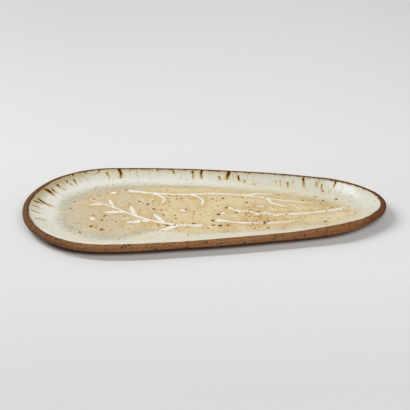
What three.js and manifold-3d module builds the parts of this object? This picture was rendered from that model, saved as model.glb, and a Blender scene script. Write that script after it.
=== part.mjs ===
// Egg-shaped stoneware serving platter: a clay slab with an upturned rim and a bare lip, a glaze lining inside,
// and white glaze fills in the marks that pressed plants left in the floor.
// Millimetres, +Z up. The origin is on the table under the middle of the platter. +X runs along the length, from
// the broad end to the narrow tip, and +Y runs across it.
import * as THREE from "three";
import { mergeVertices } from "three/addons/utils/BufferGeometryUtils.js";
import Module from "manifold-3d";

const wasm = await Module();
wasm.setup();

// Plan of the rim: six tangent arcs, one round each end and a side and a shoulder on either flank
const RIM_LENGTH = 380;
const RIM_BROAD_RADIUS = 89;
const RIM_SIDE_RADIUS = 955;
const RIM_SHOULDER_RADIUS = 93;
const RIM_TIP_RADIUS = 43;
const TIP_HALF_ANGLE = THREE.MathUtils.degToRad(37);

// Section through the rim
const RIM_HEIGHT = 13.5;
const RIM_THICKNESS = 6.8;
const LIP_WIDTH = 6;
const LIP_EDGE_RADIUS = 3.1;

// Plan and height of the floor, and how far the wall runs between lip and floor
const WALL_RUN_AT_BROAD_END = 33;
const WALL_RUN_AT_SIDES = 28;
const WALL_RUN_AT_TIP = 21;
const FLOOR_SHOULDER_RADIUS = 62;
const FLOOR_TIP_RADIUS = 16;
const FLOOR_HEIGHT = 7.5;
const BASE_MARGIN = 3;

// Coats and fills
const GLAZE_THICKNESS = 0.7;
const GLAZE_GAP = 0.3;
const FILL_CLEARANCE = 0.3;
const FILL_PROUD = 0.2;
const STEM_RADIUS = 1.1;
const LEAF_LENGTH = 28;
const LEAF_WIDTH = 4.6;
const SEED_LENGTH = 7;
const SEED_WIDTH = 3.6;

// Facets
const BROAD_STEPS = 24;
const SIDE_STEPS = 9;
const SHOULDER_STEPS = 7;
const TIP_STEPS = 12;
const WALL_STEPS = 8;
const EDGE_STEPS = 4;
const UNDERSIDE_STEPS = 5;
const STEM_SIDES = 6;
const STEM_STEP = 10;
const LEAF_STEPS = 5;

// Curves of the section: share of the run, share of the rise
const WALL_CURVE = new THREE.CubicBezierCurve(
  new THREE.Vector2(0, 1),
  new THREE.Vector2(0.25, 0.82),
  new THREE.Vector2(0.6, 0),
  new THREE.Vector2(1, 0),
);
const UNDERSIDE_CURVE = new THREE.CubicBezierCurve(
  new THREE.Vector2(0, 0),
  new THREE.Vector2(0.25, 0),
  new THREE.Vector2(0.65, 0.82),
  new THREE.Vector2(1, 1),
);

// Pressed plants, as points on the floor: share of its length from the broad end, share of its half width
const LEAFY_STEM = [[0.47, -0.7], [0.37, -0.6], [0.26, -0.28], [0.17, 0.12], [0.09, 0.5]];
const LEAFY_LEAVES = [
  { at: 0.16, side: 1, size: 0.96 },
  { at: 0.27, side: -1, size: 0.9 },
  { at: 0.39, side: 1, size: 1 },
  { at: 0.52, side: -1, size: 0.88 },
  { at: 0.63, side: 1, size: 0.88 },
  { at: 0.76, side: -1, size: 0.7 },
  { at: 0.85, side: 1, size: 0.64 },
];
const GRASS_STEM = [[0.95, -0.15], [0.86, -0.3], [0.76, -0.34], [0.66, -0.24], [0.56, -0.02]];
const GRASS_SEEDS = [0.56, 0.64, 0.72, 0.8, 0.88, 0.96];
const VINE_STEM = [
  [0.22, 0.78], [0.31, 0.66], [0.41, 0.62], [0.52, 0.68], [0.63, 0.62], [0.75, 0.42], [0.87, 0.25],
];
const VINE_SHOOTS = [
  [[0.31, 0.66], [0.345, 0.42], [0.335, 0.2]],
  [[0.44, 0.63], [0.475, 0.38], [0.47, 0.12]],
  [[0.62, 0.63], [0.66, 0.72], [0.72, 0.74]],
  [[0.7, 0.5], [0.71, 0.28], [0.76, 0.08]],
];
const BLADE_STEM = [[0.52, -0.5], [0.6, -0.66], [0.7, -0.74], [0.8, -0.72]];
const LOOSE_SEEDS = [
  { place: [0.16, 0.68], turn: 20 },
  { place: [0.1, -0.34], turn: -35 },
  { place: [0.4, -0.06], turn: 10 },
  { place: [0.53, -0.26], turn: 40 },
  { place: [0.66, 0.12], turn: -15 },
];
const LEAF_ANGLE = THREE.MathUtils.degToRad(38);
const SEED_ANGLE = THREE.MathUtils.degToRad(30);

// Materials
const CLAY = new THREE.MeshStandardMaterial({ color: 0x86603f, roughness: 0.9, metalness: 0 });
const GLAZE = new THREE.MeshStandardMaterial({ color: 0xd9c9a2, roughness: 0.35, metalness: 0 });
const WHITE_GLAZE = new THREE.MeshStandardMaterial({ color: 0xe9e6d8, roughness: 0.35, metalness: 0 });

// Arcs of an egg outline along X, counterclockwise from the broad end, each with its centre, radius and angles
function eggArcs({ left, right, broad, side, shoulder, tip }) {
  const broadCentre = new THREE.Vector2(left + broad, 0);
  const tipCentre = new THREE.Vector2(right - tip, 0);
  const tipWay = new THREE.Vector2(Math.cos(TIP_HALF_ANGLE), Math.sin(TIP_HALF_ANGLE));
  const shoulderCentre = tipCentre.clone().addScaledVector(tipWay, tip - shoulder);
  const sideCentre = tangentCentre(broadCentre, side - broad, shoulderCentre, side - shoulder);
  const broadAngle = broadCentre.clone().sub(sideCentre).angle();
  const shoulderAngle = shoulderCentre.clone().sub(sideCentre).angle();
  const mirrored = (p) => new THREE.Vector2(p.x, -p.y);
  const arc = (steps, centre, radius, from, to) => ({ steps, centre, radius, from, to });
  return [
    arc(BROAD_STEPS, broadCentre, broad, broadAngle, 2 * Math.PI - broadAngle),
    arc(SIDE_STEPS, mirrored(sideCentre), side, -broadAngle, -shoulderAngle),
    arc(SHOULDER_STEPS, mirrored(shoulderCentre), shoulder, -shoulderAngle, -TIP_HALF_ANGLE),
    arc(TIP_STEPS, tipCentre, tip, -TIP_HALF_ANGLE, TIP_HALF_ANGLE),
    arc(SHOULDER_STEPS, shoulderCentre, shoulder, TIP_HALF_ANGLE, shoulderAngle),
    arc(SIDE_STEPS, sideCentre, side, shoulderAngle, broadAngle),
  ];
}

// The point below the line from a to b at the given distances from both
function tangentCentre(a, fromA, b, fromB) {
  const between = b.clone().sub(a);
  const distance = between.length();
  const along = (distance ** 2 + fromA ** 2 - fromB ** 2) / (2 * distance);
  const across = Math.sqrt(fromA ** 2 - along ** 2);
  const way = between.normalize();
  return a.clone().addScaledVector(way, along).add(new THREE.Vector2(way.y, -way.x).multiplyScalar(across));
}

// Points of an outline moved inwards by inset, always the same count, so that any two outlines can be joined
function outline(arcs, inset) {
  return arcs.flatMap(({ steps, centre, radius, from, to }) =>
    Array.from({ length: steps }, (_, step) => {
      const angle = THREE.MathUtils.lerp(from, to, step / steps);
      const way = new THREE.Vector2(Math.cos(angle), Math.sin(angle));
      return centre.clone().addScaledVector(way, radius - inset);
    }),
  );
}

const RIM = eggArcs({
  left: -RIM_LENGTH / 2,
  right: RIM_LENGTH / 2,
  broad: RIM_BROAD_RADIUS,
  side: RIM_SIDE_RADIUS,
  shoulder: RIM_SHOULDER_RADIUS,
  tip: RIM_TIP_RADIUS,
});
const FLOOR_LEFT = -RIM_LENGTH / 2 + LIP_WIDTH + WALL_RUN_AT_BROAD_END;
const FLOOR_RIGHT = RIM_LENGTH / 2 - LIP_WIDTH - WALL_RUN_AT_TIP;
const FLOOR = eggArcs({
  left: FLOOR_LEFT,
  right: FLOOR_RIGHT,
  broad: RIM_BROAD_RADIUS - LIP_WIDTH - WALL_RUN_AT_SIDES,
  side: RIM_SIDE_RADIUS - LIP_WIDTH - WALL_RUN_AT_SIDES,
  shoulder: FLOOR_SHOULDER_RADIUS,
  tip: FLOOR_TIP_RADIUS,
});

// A ring of points at one height, and a ring part of the way from one outline to another
function ringAt(points, height) {
  return points.map((p) => new THREE.Vector3(p.x, p.y, height));
}

function ringBetween(outer, inner, share, height) {
  return outer.map((p, i) => new THREE.Vector3(p.x, p.y, 0).lerp(inner[i], share).setZ(height));
}

// A closed solid through rings of points, which go from its underside outwards, up and back in over its top
function ringSolid(rings) {
  const count = rings[0].length;
  const points = rings.flat();
  const faces = [];
  for (let ring = 0; ring + 1 < rings.length; ring++) {
    for (let i = 0; i < count; i++) {
      const next = (i + 1) % count;
      const [a, b] = [ring * count + i, ring * count + next];
      faces.push(a, b, b + count, a, b + count, a + count);
    }
  }
  const last = (rings.length - 1) * count;
  for (let i = 1; i + 1 < count; i++) {
    faces.push(0, i + 1, i, last, last + i, last + i + 1);
  }
  const geometry = new THREE.BufferGeometry().setFromPoints(points);
  geometry.setIndex(faces);
  return toSolid(geometry);
}

// Rings down the inside, from lip to floor, lowered by drop for the surfaces under the glaze's face
function wallRings(outerInset, drop) {
  const outer = outline(RIM, outerInset);
  const inner = ringAt(outline(FLOOR, 0), 0);
  return WALL_CURVE.getPoints(WALL_STEPS).map(({ x, y }) =>
    ringBetween(outer, inner, x, THREE.MathUtils.lerp(FLOOR_HEIGHT, RIM_HEIGHT, y) - drop),
  );
}

// Clay slab before the plants are pressed in
function claySlab() {
  const edge = Math.min(LIP_EDGE_RADIUS, RIM_THICKNESS / 2.01);
  const rimUnderside = RIM_HEIGHT - RIM_THICKNESS;
  const base = outline(FLOOR, -BASE_MARGIN);
  const rimFoot = ringAt(outline(RIM, edge), 0);
  const underside = UNDERSIDE_CURVE.getPoints(UNDERSIDE_STEPS).map(({ x, y }) =>
    ringBetween(base, rimFoot, x, rimUnderside * y),
  );
  const roundedEdge = (from, centreHeight) =>
    Array.from({ length: EDGE_STEPS }, (_, step) => {
      const angle = from + ((step + 1) / EDGE_STEPS) * (Math.PI / 2);
      const inset = edge * (1 - Math.cos(angle));
      return ringAt(outline(RIM, inset), centreHeight + edge * Math.sin(angle));
    });
  const lowerEdge = roundedEdge(-Math.PI / 2, rimUnderside + edge);
  const upperEdgeStart = ringAt(outline(RIM, 0), RIM_HEIGHT - edge);
  const upperEdge = roundedEdge(0, RIM_HEIGHT - edge);
  const lipInside = ringAt(outline(RIM, LIP_WIDTH), RIM_HEIGHT);
  const wall = wallRings(LIP_WIDTH, GLAZE_THICKNESS + GLAZE_GAP);
  return ringSolid([...underside, ...lowerEdge, upperEdgeStart, ...upperEdge, lipInside, ...wall]);
}

// Glaze coat before the slots over the pressed marks are opened
function glazeCoat() {
  const top = wallRings(LIP_WIDTH + GLAZE_GAP, 0);
  const under = wallRings(LIP_WIDTH + GLAZE_GAP, GLAZE_THICKNESS).reverse();
  return ringSolid([...under, ...top]);
}

// Place on the floor, from shares of its length and of its half width there
function onFloor([along, across]) {
  const x = THREE.MathUtils.lerp(FLOOR_LEFT, FLOOR_RIGHT, along);
  const edge = outline(FLOOR, 0).filter((p) => p.y >= 0).sort((a, b) => a.x - b.x);
  const right = edge.findIndex((p) => p.x > x);
  const [a, b] = [edge[right - 1], edge[right]];
  const halfWidth = THREE.MathUtils.mapLinear(x, a.x, b.x, a.y, b.y);
  return new THREE.Vector3(x, across * halfWidth, 0);
}

// Heights of a fill: it lies in the clay to the depth of its own stem, and stands a little above the glaze
const FILL_TOP = FLOOR_HEIGHT + FILL_PROUD;
const FILL_MIDDLE = FILL_TOP - STEM_RADIUS;
const FILL_BOTTOM = FILL_TOP - 2 * STEM_RADIUS;

function stemCurve(places) {
  return new THREE.CatmullRomCurve3(places.map((place) => onFloor(place).setZ(FILL_MIDDLE)));
}

// A round thread of glaze along a curve, with round ends, made thicker by grow where it is the groove instead
function thread(curve, grow) {
  const radius = STEM_RADIUS + grow;
  const section = new THREE.Shape().absarc(0, 0, radius, 0, 2 * Math.PI);
  const steps = Math.max(2, Math.ceil(curve.getLength() / STEM_STEP));
  const settings = { extrudePath: curve, steps, curveSegments: STEM_SIDES / 2, bevelEnabled: false };
  const ends = [0, 1].map((share) => roundEnd(curve.getPoint(share), radius));
  return joined([toSolid(new THREE.ExtrudeGeometry(section, settings)), ...ends]);
}

function roundEnd(place, radius) {
  const ball = new THREE.SphereGeometry(radius, STEM_SIDES, STEM_SIDES / 2);
  return toSolid(ball.rotateX(Math.PI / 2).translate(place.x, place.y, place.z));
}

// A pointed leaf that starts at a place on the floor and points along an angle
function leaf(place, angle, length, width, grow) {
  const reach = length / 2 + 2 * grow;
  const belly = width + 2 * grow;
  const shape = new THREE.Shape().moveTo(-reach, 0);
  shape.quadraticCurveTo(0, -belly, reach, 0);
  shape.quadraticCurveTo(0, belly, -reach, 0);
  const depth = FILL_TOP - FILL_BOTTOM + 2 * grow;
  const geometry = new THREE.ExtrudeGeometry(shape, { depth, curveSegments: LEAF_STEPS, bevelEnabled: false });
  geometry.translate(length / 2, 0, FILL_BOTTOM - grow);
  geometry.rotateZ(angle);
  geometry.translate(place.x, place.y, 0);
  return toSolid(geometry);
}

// A leaf or seed that grows out of a stem, to one side of it
function sideLeaf(curve, { at, side, length, width }, spread, grow) {
  const way = curve.getTangentAt(at);
  return leaf(curve.getPointAt(at), Math.atan2(way.y, way.x) + side * spread, length, width, grow);
}

// Each fill as a function of grow: 0 for the fill itself, the clearance for the groove that holds it
function leafySprig(grow) {
  const stem = stemCurve(LEAFY_STEM);
  const leaves = LEAFY_LEAVES.map(({ at, side, size }) => {
    const one = { at, side, length: LEAF_LENGTH * size, width: LEAF_WIDTH * size };
    return sideLeaf(stem, one, LEAF_ANGLE, grow);
  });
  return joined([thread(stem, grow), ...leaves]);
}

function grassSprig(grow) {
  const stem = stemCurve(GRASS_STEM);
  const seeds = GRASS_SEEDS.map((at, i) => {
    const seed = { at, side: i % 2 ? -1 : 1, length: SEED_LENGTH, width: SEED_WIDTH };
    return sideLeaf(stem, seed, SEED_ANGLE, grow);
  });
  return joined([thread(stem, grow), ...seeds]);
}

function vine(grow) {
  return joined([VINE_STEM, ...VINE_SHOOTS].map((places) => thread(stemCurve(places), grow)));
}

function grassBlade(grow) {
  return thread(stemCurve(BLADE_STEM), grow);
}

function looseSeed({ place, turn }) {
  const angle = THREE.MathUtils.degToRad(turn);
  return (grow) => leaf(onFloor(place), angle, SEED_LENGTH, SEED_WIDTH, grow);
}

// Exact solids and back: manifold-3d only joins and cuts what the shapes above make
function toSolid(geometry) {
  const bare = geometry.clone();
  bare.deleteAttribute("normal");
  bare.deleteAttribute("uv");
  const merged = mergeVertices(bare, 1e-4);
  const vertProperties = merged.attributes.position.array;
  const triVerts = new Uint32Array(merged.index.array);
  return new wasm.Manifold(new wasm.Mesh({ numProp: 3, vertProperties, triVerts }));
}

function toGeometry(solid) {
  const { vertProperties, triVerts } = solid.getMesh();
  const geometry = new THREE.BufferGeometry();
  geometry.setAttribute("position", new THREE.BufferAttribute(vertProperties, 3));
  geometry.setIndex(new THREE.BufferAttribute(triVerts, 1));
  geometry.computeVertexNormals();
  return geometry;
}

function joined(solids) {
  return solids.reduce((whole, one) => whole.add(one));
}

function mesh(name, solid, material) {
  const made = new THREE.Mesh(toGeometry(solid), material);
  made.name = name;
  return made;
}

// The platter
const fills = {
  leafy_sprig_inlay: leafySprig,
  grass_sprig_inlay: grassSprig,
  vine_inlay: vine,
  grass_blade_inlay: grassBlade,
};
LOOSE_SEEDS.forEach((seed, i) => {
  fills[`seed_inlay_${i + 1}`] = looseSeed(seed);
});
const grooves = joined(Object.values(fills).map((fill) => fill(FILL_CLEARANCE)));

const platter = new THREE.Group();
platter.name = "serving_platter";
platter.add(mesh("stoneware_body", claySlab().subtract(grooves), CLAY));
platter.add(mesh("glaze_lining", glazeCoat().subtract(grooves), GLAZE));
for (const [name, fill] of Object.entries(fills)) {
  platter.add(mesh(name, fill(0), WHITE_GLAZE));
}

export default platter;
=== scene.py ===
"""Looks of an egg-shaped stoneware platter: bare clay lip, pale glaze lining and white pressed plant marks.

Sizes are in millimetres until a mesh is made, and colours are written as they look on screen.
"""
import math

import bpy
import numpy as np
from mathutils import Matrix, Vector
from mathutils.kdtree import KDTree


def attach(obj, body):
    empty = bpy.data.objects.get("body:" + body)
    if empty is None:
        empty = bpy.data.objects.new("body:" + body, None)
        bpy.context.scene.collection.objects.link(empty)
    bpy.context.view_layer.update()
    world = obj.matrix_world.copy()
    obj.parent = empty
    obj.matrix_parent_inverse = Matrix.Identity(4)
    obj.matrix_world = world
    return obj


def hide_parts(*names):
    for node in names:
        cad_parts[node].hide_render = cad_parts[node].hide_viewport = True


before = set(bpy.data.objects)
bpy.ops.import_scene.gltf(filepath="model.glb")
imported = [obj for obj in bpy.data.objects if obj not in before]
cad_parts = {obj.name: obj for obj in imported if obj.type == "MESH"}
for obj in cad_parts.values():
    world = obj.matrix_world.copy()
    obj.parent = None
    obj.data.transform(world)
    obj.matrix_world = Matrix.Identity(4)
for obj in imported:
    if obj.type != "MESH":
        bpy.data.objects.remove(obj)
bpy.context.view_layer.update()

MM = 0.001
TAU = 2 * math.pi

# Plan of the rim: six tangent arcs
RIM_LENGTH = 380
RIM_BROAD_RADIUS = 89
RIM_SIDE_RADIUS = 955
RIM_SHOULDER_RADIUS = 93
RIM_TIP_RADIUS = 43
TIP_HALF_ANGLE = math.radians(37)

# Section through the rim
RIM_HEIGHT = 13.5
RIM_THICKNESS = 6.2
LIP_WIDTH = 6
LIP_EDGE_RADIUS = 2.5

# Unevenness of the hand-rolled slab: the near rim sags, the tip rises and all of it wavers
NEAR_SAG = 1.0
NEAR_DRAWN_IN = 1.9
TIP_LIFT = 1.2
TIP_REACH = 0.8
PLAN_WAVER = 0.3
PLAN_WAVE_LENGTH = 90
HEIGHT_WAVER = 0.22
HEIGHT_WAVE_LENGTH = 110
FINE_WAVER = 0.05
FINE_WAVE_LENGTH = 26

# Wall and floor
WALL_RUN_AT_BROAD_END = 33
WALL_RUN_AT_SIDES = 28
WALL_RUN_AT_TIP = 21
FLOOR_SHOULDER_RADIUS = 62
FLOOR_TIP_RADIUS = 16
FLOOR_HEIGHT = 7.5
BASE_MARGIN = 3
WALL_CURVE = ((0, 1), (0.25, 0.82), (0.6, 0), (1, 0))
UNDERSIDE_CURVE = ((0, 0), (0.25, 0), (0.65, 0.82), (1, 1))
MIDDLE_LINE_LEFT = -100
MIDDLE_LINE_RIGHT = 125

# Glaze: its thickness, the depth of the clay under its face, and the waver of its edge
GLAZE_THICKNESS = 0.5
CLAY_UNDER_GLAZE = 0.55
EDGE_WAVER = 0.32
FINE_EDGE_WAVER = 0.12
TIP_EDGE_WAVER = 0.35

# Points round one ring of a mesh, arc by arc
BROAD_POINTS = 240
SIDE_POINTS = 170
SHOULDER_POINTS = 110
TIP_POINTS = 120

# Pressed plants, as points on the floor: share of its length from the broad end, share of its half width
LEAFY_STEM = ((0.47, -0.7), (0.37, -0.6), (0.26, -0.28), (0.17, 0.12), (0.09, 0.5))
LEAFY_LEAVES = (
    # place along the stem, side, share of the full leaf
    (0.16, 1, 0.96), (0.27, -1, 0.9), (0.39, 1, 1.0), (0.52, -1, 0.88),
    (0.63, 1, 0.88), (0.76, -1, 0.7), (0.85, 1, 0.64),
)
GRASS_STEM = ((0.95, -0.15), (0.86, -0.3), (0.76, -0.34), (0.66, -0.24), (0.56, -0.02))
GRASS_SEEDS = (0.56, 0.64, 0.72, 0.8, 0.88, 0.96)
VINE_STEM = (
    (0.22, 0.78), (0.31, 0.66), (0.41, 0.62), (0.52, 0.68), (0.63, 0.62), (0.75, 0.42), (0.87, 0.25),
)
VINE_SHOOTS = (
    ((0.31, 0.66), (0.345, 0.42), (0.335, 0.2)),
    ((0.44, 0.63), (0.475, 0.38), (0.47, 0.12)),
    ((0.62, 0.63), (0.66, 0.72), (0.72, 0.74)),
    ((0.7, 0.5), (0.71, 0.28), (0.76, 0.08)),
)
BLADE_STEM = ((0.52, -0.5), (0.6, -0.66), (0.7, -0.74), (0.8, -0.72))
LOOSE_SEEDS = (
    # place on the floor, turn in degrees
    ((0.16, 0.68), 20), ((0.1, -0.34), -35), ((0.4, -0.06), 10), ((0.53, -0.26), 40), ((0.66, 0.12), -15),
)
LEAF_LENGTH = 28
LEAF_WIDTH = 4.6
LEAF_ANGLE = math.radians(38)
SEED_LENGTH = 7
SEED_WIDTH = 3.6
SEED_ANGLE = math.radians(30)
STEM_RADIUS = 1.1


# Plan outlines
def egg_arcs(left, right, broad, side, shoulder, tip):
    """The six arcs of an egg along X, counterclockwise: centre, radius, first and last angle, points."""
    broad_centre = np.array((left + broad, 0.0))
    tip_centre = np.array((right - tip, 0.0))
    tip_way = np.array((math.cos(TIP_HALF_ANGLE), math.sin(TIP_HALF_ANGLE)))
    shoulder_centre = tip_centre + tip_way * (tip - shoulder)
    side_centre = tangent_centre(broad_centre, side - broad, shoulder_centre, side - shoulder)
    broad_angle = math.atan2(*(broad_centre - side_centre)[::-1])
    shoulder_angle = math.atan2(*(shoulder_centre - side_centre)[::-1])
    flip = np.array((1, -1))
    return (
        (broad_centre, broad, broad_angle, TAU - broad_angle, BROAD_POINTS),
        (side_centre * flip, side, -broad_angle, -shoulder_angle, SIDE_POINTS),
        (shoulder_centre * flip, shoulder, -shoulder_angle, -TIP_HALF_ANGLE, SHOULDER_POINTS),
        (tip_centre, tip, -TIP_HALF_ANGLE, TIP_HALF_ANGLE, TIP_POINTS),
        (shoulder_centre, shoulder, TIP_HALF_ANGLE, shoulder_angle, SHOULDER_POINTS),
        (side_centre, side, shoulder_angle, broad_angle, SIDE_POINTS),
    )


def tangent_centre(a, from_a, b, from_b):
    """The point below the line from a to b at the given distances from both."""
    between = b - a
    distance = np.hypot(*between)
    along = (distance**2 + from_a**2 - from_b**2) / (2 * distance)
    across = math.sqrt(from_a**2 - along**2)
    way = between / distance
    return a + way * along + np.array((way[1], -way[0])) * across


def outline(arcs, inset=0.0):
    """Points of an egg moved inwards by inset, one number or one for each point, and the ways outwards."""
    places, ways, radii = [], [], []
    for centre, radius, first, last, count in arcs:
        angles = first + (last - first) * np.arange(count) / count
        way = np.stack((np.cos(angles), np.sin(angles)), 1)
        places.append(np.repeat(centre[None], count, 0))
        ways.append(way)
        radii.append(np.full(count, float(radius)))
    ways = np.concatenate(ways)
    reach = np.concatenate(radii) - inset
    return np.concatenate(places) + ways * reach[:, None], ways


RIM = egg_arcs(
    -RIM_LENGTH / 2, RIM_LENGTH / 2, RIM_BROAD_RADIUS, RIM_SIDE_RADIUS, RIM_SHOULDER_RADIUS, RIM_TIP_RADIUS
)
FLOOR_LEFT = -RIM_LENGTH / 2 + LIP_WIDTH + WALL_RUN_AT_BROAD_END
FLOOR_RIGHT = RIM_LENGTH / 2 - LIP_WIDTH - WALL_RUN_AT_TIP
FLOOR = egg_arcs(
    FLOOR_LEFT,
    FLOOR_RIGHT,
    RIM_BROAD_RADIUS - LIP_WIDTH - WALL_RUN_AT_SIDES,
    RIM_SIDE_RADIUS - LIP_WIDTH - WALL_RUN_AT_SIDES,
    FLOOR_SHOULDER_RADIUS,
    FLOOR_TIP_RADIUS,
)
FLOOR_EDGE = outline(FLOOR)[0]
RIM_EDGE, RIM_WAYS = outline(RIM)
RING_POINTS = len(FLOOR_EDGE)
# How much a place on a ring belongs to the far side or the broad end, 0 to 1
FAR_SIDE = np.clip(0.45 + 0.6 * RIM_WAYS[:, 1] - 0.3 * RIM_WAYS[:, 0], 0, 1)
MIRRORED = (BROAD_POINTS - np.arange(RING_POINTS)) % RING_POINTS


def half_width(edge, x):
    """Half the width of an outline at an x, less than zero past its ends."""
    far = edge[edge[:, 1] >= 0]
    far = far[np.argsort(far[:, 0])]
    return np.interp(x, far[:, 0], far[:, 1], left=-1, right=-1)


def smoothstep(low, high, value):
    share = np.clip((value - low) / (high - low), 0, 1)
    return share * share * (3 - 2 * share)


# The bare lip: narrow on the far side, and widest on the near side towards the tip
LIP_SPARE_PAST_MIDDLE = 1.6
LIP_SPARE_TOWARDS_TIP = 2.2
FAR_LIP_CUT = 2.4
FAR_TIP_LIP_CUT = 1.2
RIM_X = RIM_EDGE[:, 0]
NEAR_SIDE = smoothstep(0.1, 0.75, -RIM_WAYS[:, 1])
LIP_SPARE = LIP_SPARE_PAST_MIDDLE * smoothstep(-30, 20, RIM_X)
LIP_SPARE += LIP_SPARE_TOWARDS_TIP * smoothstep(85, 135, RIM_X)
LIP_SPARE *= smoothstep(172, 142, RIM_X)
LIP_CUT = FAR_LIP_CUT + (FAR_TIP_LIP_CUT - FAR_LIP_CUT) * smoothstep(115, 150, RIM_X)
FAR_START = np.where(RIM_X < 0, 0.45, 0.25)
FAR_SHARE = smoothstep(FAR_START, FAR_START + 0.44, RIM_WAYS[:, 1])
LIP_WIDTHS = LIP_WIDTH + LIP_SPARE * NEAR_SIDE - LIP_CUT * FAR_SHARE


def bezier(points, steps):
    """Places along a cubic curve, as shares of run and rise."""
    a, b, c, d = (np.array(point, float) for point in points)
    t = np.linspace(0, 1, steps)[:, None]
    return a * (1 - t) ** 3 + 3 * b * t * (1 - t) ** 2 + 3 * c * t**2 * (1 - t) + d * t**3


def ripple(places, wavelength, seed, waves=14):
    """A smooth random field over the plan, about -1 to 1."""
    rng = np.random.default_rng(seed)
    total = np.zeros(places.shape[:-1])
    for _ in range(waves):
        turn, phase = rng.uniform(0, TAU, 2)
        pace = TAU / (wavelength * rng.uniform(0.7, 1.5))
        total += np.sin(pace * (places[..., 0] * math.cos(turn) + places[..., 1] * math.sin(turn)) + phase)
    return total / math.sqrt(2 * waves)


def near_sag(points):
    """How far the near rim hangs lower and further in at a place, 0 to 1: most a little past the middle."""
    x = points[..., 0]
    near_rim = np.maximum(half_width(RIM_EDGE, x), 1.0)
    along = smoothstep(-85, 0, x) * smoothstep(125, 60, x)
    return along * smoothstep(0.7, 0.96, -points[..., 1] / near_rim)


def hand_made(points):
    """Points moved as a hand-rolled slab is uneven; the base stays flat on the table."""
    x, y, z = np.moveaxis(points, -1, 0)
    free = smoothstep(0, 5, z)
    sag = near_sag(points)
    near_tip = smoothstep(110, 190, x) * smoothstep(30, -30, y)
    moved = points.copy()
    moved[..., 0] += PLAN_WAVER * free * ripple(points, PLAN_WAVE_LENGTH, 11)
    moved[..., 0] += TIP_REACH * free * smoothstep(150, 190, x)
    moved[..., 1] += PLAN_WAVER * free * ripple(points, PLAN_WAVE_LENGTH, 12)
    moved[..., 1] += NEAR_DRAWN_IN * free * sag
    moved[..., 2] += TIP_LIFT * free * near_tip - NEAR_SAG * sag * smoothstep(6, 13, z)
    moved[..., 2] += HEIGHT_WAVER * free * ripple(points, HEIGHT_WAVE_LENGTH, 13)
    moved[..., 2] += FINE_WAVER * free * ripple(points, FINE_WAVE_LENGTH, 14)
    return moved


def ring_at(places, height):
    return np.concatenate((places, np.broadcast_to(height, (len(places),))[:, None]), 1)


def inwards(share):
    """The floor's outline drawn in towards the middle line by a share of the way."""
    along = (FLOOR_EDGE[:, 0] - FLOOR_LEFT) / (FLOOR_RIGHT - FLOOR_LEFT)
    middle_x = MIDDLE_LINE_LEFT + (MIDDLE_LINE_RIGHT - MIDDLE_LINE_LEFT) * along
    middle = np.stack((middle_x, np.zeros(RING_POINTS)), 1)
    return FLOOR_EDGE + (middle - FLOOR_EDGE) * share


# Meshes
def mesh_object(name, points, faces, attributes, material):
    """A smooth mesh in metres with one number or vector for each point under each attribute's name."""
    mesh = bpy.data.meshes.new(name)
    mesh.from_pydata((points * MM).tolist(), [], faces)
    for key, values in attributes.items():
        values = np.asarray(values, np.float32)
        kind, field = ("FLOAT", "value") if values.ndim == 1 else ("FLOAT_VECTOR", "vector")
        mesh.attributes.new(key, kind, "POINT").data.foreach_set(field, values.ravel())
    mesh.polygons.foreach_set("use_smooth", [True] * len(mesh.polygons))
    mesh.materials.append(material)
    mesh.validate()
    thing = bpy.data.objects.new(name, mesh)
    bpy.context.scene.collection.objects.link(thing)
    return thing


def ring_solid(name, rings, attributes, material):
    """A closed solid through rings, from its underside outwards, up and in over its top.

    The first and the last ring lie on the middle line, where each point meets its mirror image.
    """
    rings = np.array(rings)
    count = len(rings)
    size = count * RING_POINTS
    index = np.arange(size).reshape(count, RING_POINTS)
    for end in (0, count - 1):
        index[end] = np.minimum(index[end], index[end][MIRRORED])
    quads = np.stack(
        (index[:-1], np.roll(index[:-1], -1, 1), np.roll(index[1:], -1, 1), index[1:]), -1
    ).reshape(-1, 4)
    used, compact = np.unique(quads, return_inverse=True)
    faces = [list(dict.fromkeys(quad)) for quad in compact.reshape(-1, 4).tolist()]
    faces = [face for face in faces if len(face) > 2]
    kept = {key: np.reshape(values, (size, -1))[used].squeeze() for key, values in attributes.items()}
    return mesh_object(name, hand_made(rings.reshape(-1, 3)[used]), faces, kept, material)


def nearest(places, targets):
    """Distance in plan from each place to the nearest target."""
    tree = KDTree(len(targets))
    for number, (x, y) in enumerate(targets[:, :2].tolist()):
        tree.insert((x, y, 0), number)
    tree.balance()
    return np.array([tree.find((x, y, 0))[2] for x, y in places[:, :2].tolist()])


def floor_depth(places):
    """How far a place lies inside the floor's edge, less than zero outside it."""
    inside = np.where(np.abs(places[:, 1]) < half_width(FLOOR_EDGE, places[:, 0]), 1.0, -1.0)
    return inside * nearest(places, FLOOR_EDGE)


def bend_depth(places, depth):
    """The depth of a place inside the soft line where the floor's colour begins.

    The line lies further in on the far side towards the tip, and on the near side left of the middle.
    """
    x, y = places[:, 0], places[:, 1]
    far = 3 + 3 * smoothstep(-60, -110, x) * smoothstep(-155, -125, x)
    far += 7 * smoothstep(0, 60, x) + 10 * smoothstep(60, 140, x)
    near = 12 * np.exp(-(((x + 47) / 25) ** 2)) - 4 * smoothstep(-140, -120, x) * smoothstep(-65, -85, x)
    far_start = -40 + 18 * smoothstep(100, 145, x)
    return depth - near - (far - near) * smoothstep(far_start, 0, y)


# Node materials. Each seed takes its noise or its spots from another place.
NOISE_STEPS = (37.1, 17.3, 53.9)
SPOT_START = (600, 600, 300)
SPOT_STEPS = (31.7, 43.3, 29.9)
SPOT_RAGGED = 0.3
SPOT_LEAST = 0.35
NOWHERE = 100.0


def srgb(red, green, blue):
    """A colour as it looks on screen, 0 to 255, for a shader."""
    linear = []
    for level in (red, green, blue):
        level /= 255
        linear.append(level / 12.92 if level <= 0.04045 else ((level + 0.055) / 1.055) ** 2.4)
    return (*linear, 1.0)


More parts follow.
